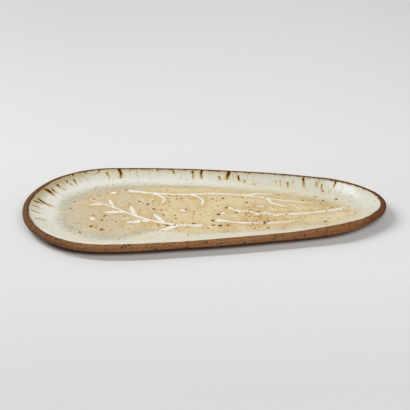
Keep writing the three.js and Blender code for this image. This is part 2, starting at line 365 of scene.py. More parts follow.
class Paint:
    """A material whose colour, roughness and bump come from nodes. Lengths are in millimetres."""

    def __init__(self, name):
        self.material = bpy.data.materials.new(name)
        self.material.use_nodes = True
        self.tree = self.material.node_tree
        self.shader = self.tree.nodes["Principled BSDF"]
        coordinates = self.node("TexCoord").outputs["Object"]
        self.place = self.stretched(coordinates, (1 / MM,) * 3)
        self.along, self.across, self.height = self.parts(self.place)
        self.colour = None

    def put(self, socket, value):
        if isinstance(value, bpy.types.NodeSocket):
            self.tree.links.new(value, socket)
        else:
            socket.default_value = value

    def node(self, kind, inputs=(), **settings):
        made = self.tree.nodes.new("ShaderNode" + kind)
        for key, value in settings.items():
            setattr(made, key, value)
        for key, value in dict(inputs).items():
            self.put(made.inputs[key], value)
        return made

    # Numbers
    def math(self, operation, a, b):
        return self.node("Math", {0: a, 1: b}, operation=operation).outputs[0]

    def plus(self, a, b):
        return self.math("ADD", a, b)

    def minus(self, a, b):
        return self.math("SUBTRACT", a, b)

    def most(self, a, b):
        return self.math("MAXIMUM", a, b)

    def times(self, product, *others):
        for other in others:
            product = self.math("MULTIPLY", product, other)
        return product

    def smooth(self, value, low, high, first=0.0, last=1.0):
        """A soft step from first, where the value is low, to last, where it is high."""
        inputs = {"Value": value, "From Min": low, "From Max": high, "To Min": first, "To Max": last}
        return self.node("MapRange", inputs, interpolation_type="SMOOTHSTEP").outputs["Result"]

    def band(self, value, low, full, fading, high):
        """A soft band: it rises from low to full and falls again from fading to high."""
        return self.times(self.smooth(value, low, full), self.smooth(value, high, fading))

    def shaken(self, value, noise, amount):
        """A value moved up and down by noise, by up to half the amount either way."""
        return self.plus(value, self.times(self.plus(noise, -0.5), amount))

    def number(self, attribute):
        return self.node("Attribute", attribute_name=attribute).outputs["Fac"]

    # Vectors
    def vector(self, attribute):
        return self.node("Attribute", attribute_name=attribute).outputs["Vector"]

    def parts(self, vector):
        return tuple(self.node("SeparateXYZ", {0: vector}).outputs)

    def vectors(self, operation, a, b, output="Vector"):
        return self.node("VectorMath", {0: a, 1: b}, operation=operation).outputs[output]

    def stretched(self, vector, factors):
        return self.vectors("MULTIPLY", vector, factors)

    def moved(self, vector, shift):
        return self.vectors("ADD", vector, shift)

    def distance(self, vector, target):
        return self.vectors("DISTANCE", vector, target, "Value")

    # Patterns
    def noise(self, size, seed, detail=2.0, roughness=0.5, vector=None):
        """Smooth noise from 0 to 1, with blobs about as large as size."""
        shift = tuple(seed * step for step in NOISE_STEPS)
        vector = self.moved(self.place if vector is None else vector, shift)
        inputs = {"Vector": vector, "Scale": 1 / size, "Detail": detail, "Roughness": roughness}
        return self.node("TexNoise", inputs).outputs["Fac"]

    def spots(self, cell, radius, seed, share, flat=True):
        """How far inside a round mark a place is: a share of the cells hold one, up to the given radius."""
        x, y, z = (start + seed * step for start, step in zip(SPOT_START, SPOT_STEPS))
        vector = self.moved(self.place, (x, y, 0 if flat else z))
        shake = self.node("TexNoise", {"Vector": vector, "Scale": 1 / radius, "Detail": 1.0})
        shift = self.moved(shake.outputs["Color"], (-0.5,) * 3)
        vector = self.moved(self.stretched(shift, (2 * SPOT_RAGGED * radius,) * 3), vector)
        cells = self.node(
            "TexVoronoi",
            {"Vector": vector, "Scale": 1 / cell},
            voronoi_dimensions="2D" if flat else "3D",
        )
        # A cell's colour repeats its point's place, so the chance comes from the later digits of the blue
        blue = self.parts(cells.outputs["Color"])[2]
        chance = self.math("FRACT", self.times(blue, 10.0), 0.0)
        size = self.smooth(chance, 1 - share, 1.0, SPOT_LEAST * radius, radius)
        hidden = self.math("LESS_THAN", chance, 1 - share)
        edge = self.minus(size, self.times(cells.outputs["Distance"], cell))
        return self.minus(edge, self.times(hidden, NOWHERE))

    # Colours
    def mix(self, a, b, *shares):
        """Colour a, covered by colour b as far as the product of the shares says."""
        return self.node("Mix", {0: self.times(*shares), 6: a, 7: b}, data_type="RGBA").outputs[2]

    def cover(self, colour, *shares):
        """Lay a colour over the material's own."""
        self.colour = self.mix(self.colour, colour, *shares)

    def ramp(self, value, stops):
        """A colour that follows a value through stops, each a value and a colour as on screen."""
        first, last = stops[0][0], stops[-1][0]
        inputs = {"Value": value, "From Min": first, "From Max": last}
        share = self.node("MapRange", inputs).outputs["Result"]
        made = self.node("ValToRGB", {"Fac": share})
        elements = made.color_ramp.elements
        for number, (at, colour) in enumerate(stops):
            place = (at - first) / (last - first)
            element = elements[number] if number < 2 else elements.new(place)
            element.position = place
            element.color = srgb(*colour)
        return made.outputs["Color"]

    def finish(self, roughness, height, bump, gloss=0.5):
        self.put(self.shader.inputs["Base Color"], self.colour)
        self.put(self.shader.inputs["Roughness"], roughness)
        self.put(self.shader.inputs["Specular IOR Level"], gloss)
        inputs = {"Strength": bump, "Distance": MM, "Height": height}
        self.put(self.shader.inputs["Normal"], self.node("Bump", inputs).outputs[0])
        return self.material


# Iron streaks that ran down the wall from the rim
FAR_STREAKS = (
    # place along the length on the far side, start, end of the dark head, end of the amber tail, half width
    (-163, 6, 9.5, 15, 1.1), (-161, 15, 15, 21, 0.8), (-154, 7, 9, 12.5, 0.9),
    (-152, 13, 13, 20, 0.8), (-146, 8.5, 11.5, 20.5, 0.9), (-144, 0.2, 3, 5.5, 1.5),
    (-131, 0.2, 3, 5, 1.2), (-116, 0.2, 3.6, 6, 1), (-106, 5.5, 6, 13.5, 1.3),
    (-92, 0.2, 12.5, 17, 1.7), (-50, 0.2, 2.2, 4.5, 0.9), (-33, 2.3, 5, 9, 0.9),
    (-12, 1.5, 6, 18, 0.9), (-2, 0.6, 10.5, 14.5, 1.2), (18, 8, 8.5, 16.5, 0.9),
    (26.5, 0, 11.5, 14, 1.9), (39, 5.5, 12.5, 15.5, 1), (45, 12, 12.5, 18.5, 0.7),
    (51, 0.2, 2.2, 4, 0.9), (57, 16, 16, 21, 0.6), (79, 9, 9, 18, 0.45),
    (85, 8, 8, 21, 0.5), (93, 10.5, 11, 22.5, 0.9), (99, 7, 7, 17, 0.45),
    (110, 1.5, 6.5, 21.5, 1), (123, 6, 6, 17, 0.7), (130, 8.5, 9, 19.5, 0.8),
    (131, 16.5, 19.5, 20.5, 0.9), (144, 0.3, 8, 11, 0.8),
)
END_STREAKS = (
    # place across the width at the broad end, and the same four lengths
    (48.5, 8, 11, 18.5, 1), (41.5, 2, 12.5, 18.5, 1.9), (20, 4.5, 15.5, 27, 1.4),
    (15, 2.5, 8.5, 15, 1.2), (4, 4, 4, 18, 0.8), (-8, 2.5, 2.5, 17, 0.8),
    (-25, 5, 5, 20, 0.8),
)
BROAD_END = -60
STREAK_LEAN = 0.42
STREAK_SWAY = 0.7

# Large iron spots on the floor: place, radius
DARK_SPOTS = (
    (15, -37, 1.9), (8, -26, 1.5), (14, -13, 1.6), (33, -9, 1.3), (23, 2, 1.3),
    (45, 13, 1.4), (61, -32, 1.8), (65, -29, 1.3), (-69, 18, 1.4), (-60, 11, 1.5),
    (-39, -35, 1.6), (141, 18, 1.5), (119, 24, 1.2), (124, -31, 1.3),
)
RUST_SPOTS = (
    (-117, -35, 2.2), (-106, -42, 2.3), (-12, -32, 1.8), (8, -36, 1.6), (23, -37, 1.6), (-104, -13, 1.6),
)

# A cluster of fine rust, measured in a plan that is drawn in across the width
CLUSTER_STRETCH = 0.5
RUST_CLUSTER = (53, -18 * CLUSTER_STRETCH, 0)


def streak_fields(lip, down):
    """How far inside a streak's dark head a place is, and how strong its amber tail and its halo are there.

    A place is given by its spot on the lip and the distance down from it.
    """
    heads = np.full(down.shape, -1.0)
    tails = np.zeros(down.shape)
    halos = np.zeros(down.shape)
    # A streak starts at the lip's nearest point: in x on the far side, in y at the broad end
    x, y = lip.T
    streaks = [(np.where(y > 0, np.abs(x - at), np.inf).argmin(), rest) for at, *rest in FAR_STREAKS]
    streaks += [(np.where(x < BROAD_END, np.abs(y - at), np.inf).argmin(), rest) for at, *rest in END_STREAKS]
    for number, (point, (start, head, tail, half)) in enumerate(streaks):
        along = lip[(point + 1) % RING_POINTS] - lip[point - 1]
        along /= np.hypot(*along)
        share = np.clip((down - start) / (tail - start), 0, 1)
        sway = STREAK_SWAY * half * np.sin(3.5 * share + 2.4 * number)
        drift = (sway - STREAK_LEAN * along[1] * down)[..., None] * along
        gap = np.hypot(*np.moveaxis(lip - lip[point] - drift, -1, 0)) / half
        if head > start + 1:
            dark = np.clip((down - start) / (head - start + 1.5), 0, 1)
            taper = (1 - dark) ** 0.5 if start < 1 else (4 * dark * (1 - dark)) ** 0.6
            heads = np.maximum(heads, 1.4 * taper - 0.2 - gap)
        begun = np.clip((down - start) / 1.4 + 0.5, 0, 1)
        body = begun * smoothstep(tail + 1.5, 0.7 * head + 0.3 * tail, down)
        tails = np.maximum(tails, body * smoothstep(2.1 - 0.9 * share, 0.7 - 0.5 * share, gap))
        halos = np.maximum(halos, body * smoothstep(3.2, 0.8, gap))
    return {"streak_head": heads, "streak_tail": tails, "streak_halo": halos}


# Colours of the wall, from the lip, by the share of the way to the bend; towards the bend they darken, which
# is painted shade
BROAD_HALF = (
    (0, (160, 136, 88)), (0.1, (192, 184, 153)), (0.2, (205, 202, 180)), (0.35, (215, 213, 199)),
    (0.5, (222, 221, 210)), (0.65, (226, 225, 214)), (0.8, (220, 216, 200)), (1, (207, 199, 176)),
)
NARROW_HALF = (
    (0, (168, 146, 100)), (0.1, (200, 198, 182)), (0.2, (209, 208, 195)), (0.35, (212, 209, 190)),
    (0.5, (217, 210, 187)), (0.68, (224, 219, 198)), (0.85, (217, 207, 176)), (1, (209, 191, 150)),
)

# Colours of the near wall, by the distance from the lip
NEAR_WALL = (
    (0, (222, 213, 188)), (1.5, (233, 230, 214)), (5, (232, 228, 210)), (12, (230, 226, 207)),
    (24, (224, 217, 193)),
)
OLIVE = srgb(160, 143, 98)
END_CREAM = srgb(226, 226, 214)
TIP_CREAM = srgb(216, 214, 199)
# Painted highlight: a whitish reflection on the far wall near the tip
PAINTED_HIGHLIGHT = srgb(236, 239, 235)

# Colours of the floor and of its bend into the wall
BEIGE = srgb(201, 188, 157)
GOLDEN = srgb(223, 204, 160)
PALE_GOLD = srgb(226, 210, 171)
TIP_TAN = srgb(226, 212, 177)
PALE_CLOUD = srgb(228, 218, 187)
DEEP_CLOUD = srgb(204, 174, 114)
RUSTY_TAN = srgb(208, 170, 98)
TAN_SHADE_BESIDE_MARKS = srgb(203, 171, 111)
# Bend: a grey that is partly pooled glaze and partly painted shade, then the tan and grey of a line of
# painted shade
BEND_GREY = srgb(189, 189, 173)
BEND_SHADE_TAN = srgb(197, 176, 134)
BEND_SHADE_GREY = srgb(176, 173, 151)
PEPPER = srgb(124, 112, 84)
LIGHT_GRAIN = srgb(240, 233, 212)
DARK_GRAIN = srgb(188, 152, 82)
WHITE = srgb(239, 238, 227)

# Colours of the iron
HAIRLINE = srgb(188, 144, 60)
RIM_IRON = srgb(72, 40, 18)
RIM_AMBER = srgb(146, 104, 52)
STREAK_HALO = srgb(202, 178, 106)
STREAK_TAIL = srgb(166, 116, 8)
STREAK_HEAD = srgb(34, 18, 6)
RUST = srgb(186, 122, 26)
BROWN = srgb(128, 74, 18)
NEAR_BLACK = srgb(56, 32, 16)
CLUSTER_RUST = srgb(168, 100, 18)
LARGE_RUST = srgb(148, 94, 18)
LARGE_BLACK = srgb(44, 24, 13)
SMALL_SPOTS = (
    # cell, largest radius, seed, share of the cells, shade, strength
    (2.6, 0.65, 25, 0.35, RUST, 0.6),
    (8, 1.1, 22, 0.3, RUST, 0.9),
    (9.5, 1.15, 23, 0.32, BROWN, 0.95),
    (13, 1.3, 24, 0.16, NEAR_BLACK, 0.97),
)


class Glaze(Paint):
    """Cream glaze on the wall, tan on the floor, white in the marks, with iron spots, streaks and rim line.

    The attribute ray holds the nearest place on the lip and the distance down from it.
    """

    def __init__(self, name, on_wall=True):
        super().__init__(name)
        self.ray = self.vector("ray")
        self.lip = self.stretched(self.ray, (1, 1, 0))
        self.lip_mm = self.parts(self.ray)[2]
        self.bend_mm = self.number("bend_mm")
        self.far = self.number("far_side")
        self.cloud = self.noise(34, 1, 3, 0.55)
        self.mottle = self.noise(9, 2, 4, 0.6)
        self.grain = self.noise(1.5, 3, 3, 0.7)
        self.cluster_mm = self.distance(self.stretched(self.place, (1, CLUSTER_STRETCH, 0)), RUST_CLUSTER)

        self.floor()
        if on_wall:
            floor = self.colour
            self.wall()
            self.cover(floor, self.floor_share())
        self.bend()
        self.fine_grain()
        if on_wall:
            self.hairlines()
            self.rim_line()
            self.streaks()
        else:
            self.marks()
        self.iron()
        roughness = self.smooth(self.mottle, 0.3, 0.7, 0.34, 0.44)
        height = self.plus(self.times(self.grain, 0.06), self.times(self.cloud, 0.25))
        self.finish(roughness, height, bump=0.5, gloss=0.25)

    def wall(self):
        """Olive at the far rim, then grey cream, palest above the bend and darker into it with painted shade;
        pale on all of the near side; a painted highlight on the far wall near the tip.
        """
        share = self.shaken(self.number("wall_share"), self.noise(8, 4, 3, 0.6, self.lip), 0.2)
        halves = (self.ramp(share, stops) for stops in (BROAD_HALF, NARROW_HALF))
        far_wall = self.mix(*halves, self.smooth(self.along, 0, 70))
        self.colour = self.ramp(self.lip_mm, NEAR_WALL)
        self.cover(far_wall, self.smooth(self.far, 0.15, 0.6))
        self.cover(END_CREAM, self.smooth(self.along, -140, -175), 0.6)
        olive = self.times(self.smooth(share, 0.46, 0.05), self.smooth(self.along, -95, -160))
        self.cover(OLIVE, olive, self.smooth(self.far, 0.6, 0.95, 0, 0.9))
        self.cover(TIP_CREAM, self.smooth(self.along, 140, 165), 0.85)
        # Painted highlight: a whitish reflection of the lights on the far wall near the tip
        painted_highlight = self.times(self.band(share, 0.03, 0.1, 0.22, 0.45), self.band(self.along, 126, 150, 158, 172))
        self.cover(PAINTED_HIGHLIGHT, painted_highlight, self.smooth(self.far, 0, 0.4, 0.3, 0.9))

    def floor(self):
        """Beige at the broad end, golden in the middle, paler at the tip, deeper beside the marks with
        painted shade of their grooves.
        """
        self.colour = BEIGE
        self.cover(GOLDEN, self.smooth(self.along, -115, -15))
        self.cover(PALE_GOLD, self.smooth(self.along, 20, 80), 0.7)
        self.cover(TIP_TAN, self.smooth(self.along, 125, 165))
        self.cover(PALE_CLOUD, self.smooth(self.noise(20, 5, 3, 0.55), 0.5, 0.72), 0.45)
        deep = self.smooth(self.plus(self.cloud, self.times(self.mottle, 0.6)), 0.76, 1)
        self.cover(DEEP_CLOUD, deep, self.smooth(self.along, -140, -30, 0.6, 0.8))
        self.cover(RUSTY_TAN, self.smooth(self.cluster_mm, 22, 4, 0, 0.4))
        # Painted shade of the pressed grooves: a deeper tan beside the marks
        beside = self.times(self.number("near_mark"), self.smooth(self.mottle, 0.3, 0.7, 0.45, 1))
        self.cover(TAN_SHADE_BESIDE_MARKS, beside, 0.8)

    def floor_share(self):
        """How far the tan of the floor has crept up the wall: most on the near side towards the tip."""
        near = self.smooth(self.far, 0.75, 0.1)
        reach = self.plus(-6, self.times(near, self.smooth(self.along, 25, 90, 3, -12)))
        tip = self.band(self.along, 120, 145, 152, 174)
        reach = self.plus(reach, self.times(tip, self.smooth(self.across, 4, -10, 0, -16)))
        return self.smooth(self.shaken(self.bend_mm, self.mottle, 8), reach, 5)

    def bend(self):
        """Where the wall meets the floor: grey, soft and peppery at the broad end, partly pooled glaze and
        partly painted shade; and a faint line of painted shade in the crease elsewhere.
        """
        depth = self.shaken(self.bend_mm, self.mottle, 7)
        line = self.band(depth, -6, -1, 0.5, 5)
        zone = self.band(depth, -14, -3, 1, 12)
        broad = self.smooth(self.along, -35, -105)
        patchy = self.smooth(self.cloud, 0.35, 0.65, 0.4, 1)
        near = self.smooth(self.far, 0.6, 0.1)
        # The grey at the broad end is partly glaze pooled in the bend and partly painted shade
        self.cover(BEND_GREY, zone, patchy, broad, self.smooth(near, 0, 1, 0.75, 0.9))
        faint = self.times(self.smooth(broad, 0, 1, 0.7, 0.45), self.smooth(self.along, 120, 150, 1, 0.2))
        # Painted shade: a darker line in the crease where the wall meets the floor
        self.cover(self.mix(BEND_SHADE_TAN, BEND_SHADE_GREY, broad), line, patchy, faint)
        pepper = self.smooth(self.spots(2.1, 0.85, 26, 0.6), -0.15, 0.25)
        here = self.most(zone, self.times(near, self.smooth(self.lip_mm, 3, 12, 0, 0.5)))
        self.cover(PEPPER, pepper, here, self.smooth(self.along, 70, -80, 0.1, 1), 0.5)

    def fine_grain(self):
        """Light grain everywhere, and darker grain that is strongest on the floor."""
        self.cover(LIGHT_GRAIN, self.smooth(self.grain, 0.3, 0.72), 0.14)
        dark = self.smooth(self.noise(2.6, 6, 2, 0.7), 0.52, 0.72)
        self.cover(DARK_GRAIN, dark, self.smooth(self.number("floor_mm"), -8, 4, 0.1, 0.4))

    def hairlines(self):
        """Faint amber runs down the far wall."""
        run = self.noise(1.9, 7, 1, 0.4, self.stretched(self.ray, (1, 1, 0.1)))
        end = self.smooth(self.noise(12, 8, 1, 0.4, self.lip), 0.3, 0.7, 4, 24)
        stretch = self.smooth(self.minus(end, self.lip_mm), 0, 7)
        stretch = self.times(stretch, self.smooth(self.lip_mm, 0.6, 3), self.smooth(self.far, 0.2, 0.8))
        self.cover(HAIRLINE, self.smooth(run, 0.57, 0.7), stretch, 0.6)

    def rim_line(self):
        """The dark broken line where the glaze breaks over the rim, amber and wider at the tip."""
        waver = self.noise(3.2, 9, 3, 0.65, self.lip)
        tip = self.times(self.smooth(self.along, 135, 165), self.smooth(self.across, -14, 4))
        wider = self.times(self.smooth(waver, 0.5, 0.75), tip)
        width = self.plus(self.smooth(waver, 0.25, 0.75, 0.5, 2.2), wider)
        line = self.smooth(self.math("DIVIDE", self.lip_mm, width), 1.15, 0.6)
        shown = self.most(self.smooth(self.far, 0.1, 0.8, 0.08, 0.95), self.times(tip, 0.85))
        self.cover(self.mix(RIM_IRON, RIM_AMBER, tip), line, shown)

    def streaks(self):
        """Iron streaks, each a dark head with an amber tail and a faint halo."""
        shake = self.noise(1.8, 10, 2, 0.6)
        tails = self.smooth(self.shaken(self.number("streak_tail"), shake, 0.5), 0.15, 0.75)
        heads = self.smooth(self.shaken(self.number("streak_head"), shake, 0.9), -0.1, 0.3)
        self.cover(STREAK_HALO, self.number("streak_halo"), 0.55)
        self.cover(STREAK_TAIL, tails, 0.9)
        self.cover(STREAK_HEAD, heads, 0.97)

    def marks(self):
        """White glaze with a ragged edge in the pressed marks."""
        ragged = self.shaken(self.number("core"), self.grain, 0.4)
        self.cover(WHITE, self.smooth(ragged, 0.02, 0.95), 0.97)

    def iron(self):
        """Iron spots: rust round brown or near black, fewer on the wall, and one cluster of fine rust."""
        fewer = self.smooth(self.bend_mm, -14, 2, 0.25, 1)
        for cell, radius, seed, share, shade, strength in SMALL_SPOTS:
            edge = self.spots(cell, radius, seed, share)
            if shade != RUST:
                self.cover(RUST, self.smooth(edge, -0.9, 0.2), fewer, 0.55)
            self.cover(shade, self.smooth(edge, -0.15, 0.22), fewer, strength)

        cluster = self.smooth(self.spots(3.2, 1.35, 27, 0.75), -0.2, 0.3)
        self.cover(CLUSTER_RUST, cluster, self.smooth(self.cluster_mm, 21, 5), 0.92)

        plan = self.stretched(self.place, (1, 1, 0))
        waver = self.noise(2, 11, 1, 0.5)
        for spots, shade in ((RUST_SPOTS, LARGE_RUST), (DARK_SPOTS, LARGE_BLACK)):
            edge = -NOWHERE
            for x, y, radius in spots:
                gap = self.shaken(self.distance(plan, (x, y, 0)), waver, 2)
                edge = self.most(edge, self.minus(radius, gap))
            self.cover(RUST, self.smooth(edge, -1.1, 0.2), 0.6)
            self.cover(shade, self.smooth(edge, -0.2, 0.4), 0.95)


# Colours of the clay
CLAY_BROWN = srgb(133, 92, 56)
CLAY_PALE = srgb(147, 102, 64)
CLAY_NARROW_HALF = srgb(126, 79, 41)
CLAY_BROAD_END = srgb(88, 57, 37)
CLAY_TIP = srgb(96, 52, 30)
SHADED_FAR_LIP = srgb(126, 66, 28)
CLAY_BLOTCH = srgb(120, 78, 48)
LIGHT_SAND = srgb(176, 130, 88)
DARK_SAND = srgb(88, 56, 36)
GROG = srgb(190, 156, 118)
SPECK = srgb(40, 40, 50)
WIPED_EDGE = srgb(78, 44, 27)
CLAY_SPECKS = (
    # cell, largest radius, seed, share of the cells, strength
    (5.2, 1.5, 45, 0.9, 0.95),
    (3.6, 1, 46, 0.6, 0.9),
)


def clay_paint(name):
    """Bare fired clay: warm brown, sandy, with dark iron specks and a few pale grains of grog."""
    paint = Paint(name)
    along = paint.along
    far = paint.number("far_side")
    patches = paint.noise(40, 41, 3, 0.55)
    sand = paint.noise(1.1, 42, 2, 0.8)
    blotch = paint.noise(5, 43, 3, 0.6)

    paint.colour = paint.mix(CLAY_BROWN, CLAY_PALE, paint.smooth(patches, 0.35, 0.65))
    for tone, guide, low, high, strength in (
        (CLAY_NARROW_HALF, along, 40, 150, 0.6),
        (CLAY_BROAD_END, along, -100, -160, 0.75),
        (CLAY_BLOTCH, blotch, 0.5, 0.72, 0.35),
        (LIGHT_SAND, sand, 0.5, 0.68, 0.75),
        (DARK_SAND, sand, 0.49, 0.32, 0.75),
        (CLAY_TIP, along, 150, 182, 0.7),
    ):
        paint.cover(tone, paint.smooth(guide, low, high), strength)
    # Painted shade: the top of the lip on the far side is darker and warmer
    lip_top = paint.smooth(paint.height, 11.8, 13.2)
    shaded_far_lip = paint.times(paint.smooth(far, 0.8, 0.95), lip_top)
    paint.cover(SHADED_FAR_LIP, shaded_far_lip, paint.smooth(along, -165, -110, 0.1, 0.65))

    grog = paint.smooth(paint.spots(3.2, 0.5, 44, 0.25, flat=False), -0.2, 0.2)
    paint.cover(GROG, grog, 0.55)
    for cell, radius, seed, share, strength in CLAY_SPECKS:
        speck = paint.smooth(paint.spots(cell, radius, seed, share, flat=False), -0.15, 0.2)
        paint.cover(SPECK, speck, strength)

    # Dark line along the lip's inner edge, where the glaze was wiped back
    wiped = paint.smooth(paint.shaken(paint.number("inset"), blotch, 1.6), 4.3, 5.7)
    paint.cover(WIPED_EDGE, wiped, paint.smooth(far, 0, 0.8, 0.35, 0.85))

    roughness = paint.smooth(blotch, 0.3, 0.7, 0.78, 0.92)
    height = paint.plus(paint.times(sand, 0.28), paint.times(blotch, 0.2))
    return paint.finish(roughness, height, bump=0.7, gloss=0.12)


CLAY = clay_paint("clay")
GLAZE = Glaze("glaze").material
WHITE_GLAZE = Glaze("white_glaze", on_wall=False).material


# Pressed marks: every stroke is a line with a half width and a whiteness at each point
STROKE_STEP = 0.4
STEM_SPREAD = 1.9
LEAF_SPREAD = 2.7
LEAF_BEND = -3.0


def on_floor(place):
    """A place on the floor, given by shares of its length and half width."""
    x = FLOOR_LEFT + (FLOOR_RIGHT - FLOOR_LEFT) * place[0]
    return np.array((x, place[1] * half_width(FLOOR_EDGE, x)))


def curve_through(places, steps=60):
    """A centripetal curve through places on the floor, in even steps."""
    points = np.array([on_floor(place) for place in places])
    points = np.vstack((2 * points[0] - points[1], points, 2 * points[-1] - points[-2]))
    found = []
    for p0, p1, p2, p3 in zip(points, points[1:], points[2:], points[3:]):
        d0, d1, d2 = (np.hypot(*(b - a)) ** 0.5 for a, b in ((p0, p1), (p1, p2), (p2, p3)))
        way1 = ((p1 - p0) / d0 - (p2 - p0) / (d0 + d1) + (p2 - p1) / d1) * d1
        way2 = ((p2 - p1) / d1 - (p3 - p1) / (d1 + d2) + (p3 - p2) / d2) * d1
        t = (np.arange(steps) / steps)[:, None]
        square = 3 * (p2 - p1) - 2 * way1 - way2
        cube = 2 * (p1 - p2) + way1 + way2
        found.append(p1 + way1 * t + square * t**2 + cube * t**3)
    dense = np.vstack((*found, points[-2]))
    run = np.concatenate(([0], np.cumsum(np.hypot(*np.diff(dense, axis=0).T))))
    even = np.linspace(0, run[-1], max(12, int(run[-1] / STROKE_STEP)))
    return np.stack([np.interp(even, run, dense[:, axis]) for axis in (0, 1)], 1)


def stem_stroke(places, seed, start=1.0, end=0.55):
    """A stem: its half width swells and thins along its way, with a blob where it was pressed hard."""
    line = curve_through(places)
    share = np.linspace(0, 1, len(line))
    blob = np.exp(-((share - 0.02) / 0.03) ** 2)
    swell = 1 + 0.25 * ripple(line, 17, seed) + 0.1 * ripple(line, 6, seed + 1) + 0.7 * blob
    taper = smoothstep(0, 0.02, share) * smoothstep(0, 0.05, 1 - share)
    half = STEM_SPREAD * STEM_RADIUS * (start + (end - start) * share) * swell * (0.35 + 0.65 * taper)
    strength = 0.9 + 0.12 * ripple(line, 28, seed + 2) - 0.3 * smoothstep(0.8, 1, share)
    return line, half, strength


def leaf_stroke(place, angle, length, width, seed, bend=0.0):
    """A leaf or seed as a stroke that is widest near its middle."""
    steps = max(14, int(length / STROKE_STEP))
    share = np.linspace(0.01, 0.99, steps)
    way = np.array((math.cos(angle), math.sin(angle)))
    across = np.array((-way[1], way[0]))
    line = place + way * (share * length)[:, None] + across * (bend * share * (1 - share))[:, None]
    half = LEAF_SPREAD * share * (1 - share) * width * (1 + 0.14 * ripple(line, 7, seed))
    strength = 1.0 + 0.12 * ripple(line, 12, seed + 1) - 0.25 * smoothstep(0.75, 1, share)
    return line, half, strength


def side_leaf(line, at, side, spread, length, width, seed, bend=0.0):
    """A leaf or seed that grows from a stem's line at a share of its length."""
    spot = int(round(at * (len(line) - 1)))
    way = line[min(spot + 2, len(line) - 1)] - line[max(spot - 2, 0)]
    angle = math.atan2(way[1], way[0]) + side * spread
    return leaf_stroke(line[spot], angle, length, width, seed, bend * side)


# The strokes of each piece
LEAFY = stem_stroke(LEAFY_STEM, 60)
GRASS = stem_stroke(GRASS_STEM, 80)
MARKS = {
    "leafy_sprig_inlay": [LEAFY] + [
        side_leaf(LEAFY[0], at, side, LEAF_ANGLE, LEAF_LENGTH * size, LEAF_WIDTH * size, 70 + i, LEAF_BEND)
        for i, (at, side, size) in enumerate(LEAFY_LEAVES)
    ],
    "grass_sprig_inlay": [GRASS] + [
        side_leaf(GRASS[0], at, -1 if i % 2 else 1, SEED_ANGLE, SEED_LENGTH, SEED_WIDTH, 85 + i)
        for i, at in enumerate(GRASS_SEEDS)
    ],
    "vine_inlay": [stem_stroke(places, 100 + 5 * i) for i, places in enumerate((VINE_STEM, *VINE_SHOOTS))],
    "grass_blade_inlay": [stem_stroke(BLADE_STEM, 130)],
}
for number, (place, turn) in enumerate(LOOSE_SEEDS, 1):
    loose_seed = leaf_stroke(on_floor(place), math.radians(turn), SEED_LENGTH, SEED_WIDTH, 140 + number)
    MARKS[f"seed_inlay_{number}"] = [loose_seed]

# Mounds of white glaze: mesh cell, reach in half widths, height, dip of the edge, depth, margin of the grid
MARK_CELL = 0.4
MARK_REACH = 1.7
MARK_PROUD = 0.22
MARK_SINK = 0.08
MARK_DEPTH = 0.6
MARK_MARGIN = 6
LEAST_HALF_WIDTH = 0.25
PLACES_AT_ONCE = 2000
WELL_DOWN_THE_WALL = 60.0


def mark_field(places, strokes):
    """How far each place is from the nearest stroke, in half widths, and how white that stroke is."""
    line, half, strength = (np.concatenate(rows) for rows in zip(*strokes))
    ratio = np.full(len(places), 99.0)
    white = np.zeros(len(places))
    close = np.flatnonzero(nearest(places, line) < MARK_REACH * half.max())
    for start in range(0, len(close), PLACES_AT_ONCE):
        part = close[start:start + PLACES_AT_ONCE]
        gaps = np.sqrt(((places[part, None] - line[None]) ** 2).sum(-1)) / np.maximum(half, LEAST_HALF_WIDTH)
        best = gaps.argmin(1)
        ratio[part] = gaps[np.arange(len(best)), best]
        white[part] = strength[best]
    return ratio, white


def closed_cells(cells):
    """Cells with diagonal contacts filled in, so that the mesh round them has no pinched corner."""
    while True:
        a, b, c, d = cells[:-1, :-1], cells[1:, :-1], cells[:-1, 1:], cells[1:, 1:]
        pinched = (a & d & ~b & ~c) | (b & c & ~a & ~d)
        if not pinched.any():
            return cells
        cells = cells.copy()
        rows, columns = pinched.shape
        for x, y in ((0, 0), (1, 0), (0, 1), (1, 1)):
            cells[x:x + rows, y:y + columns] |= pinched


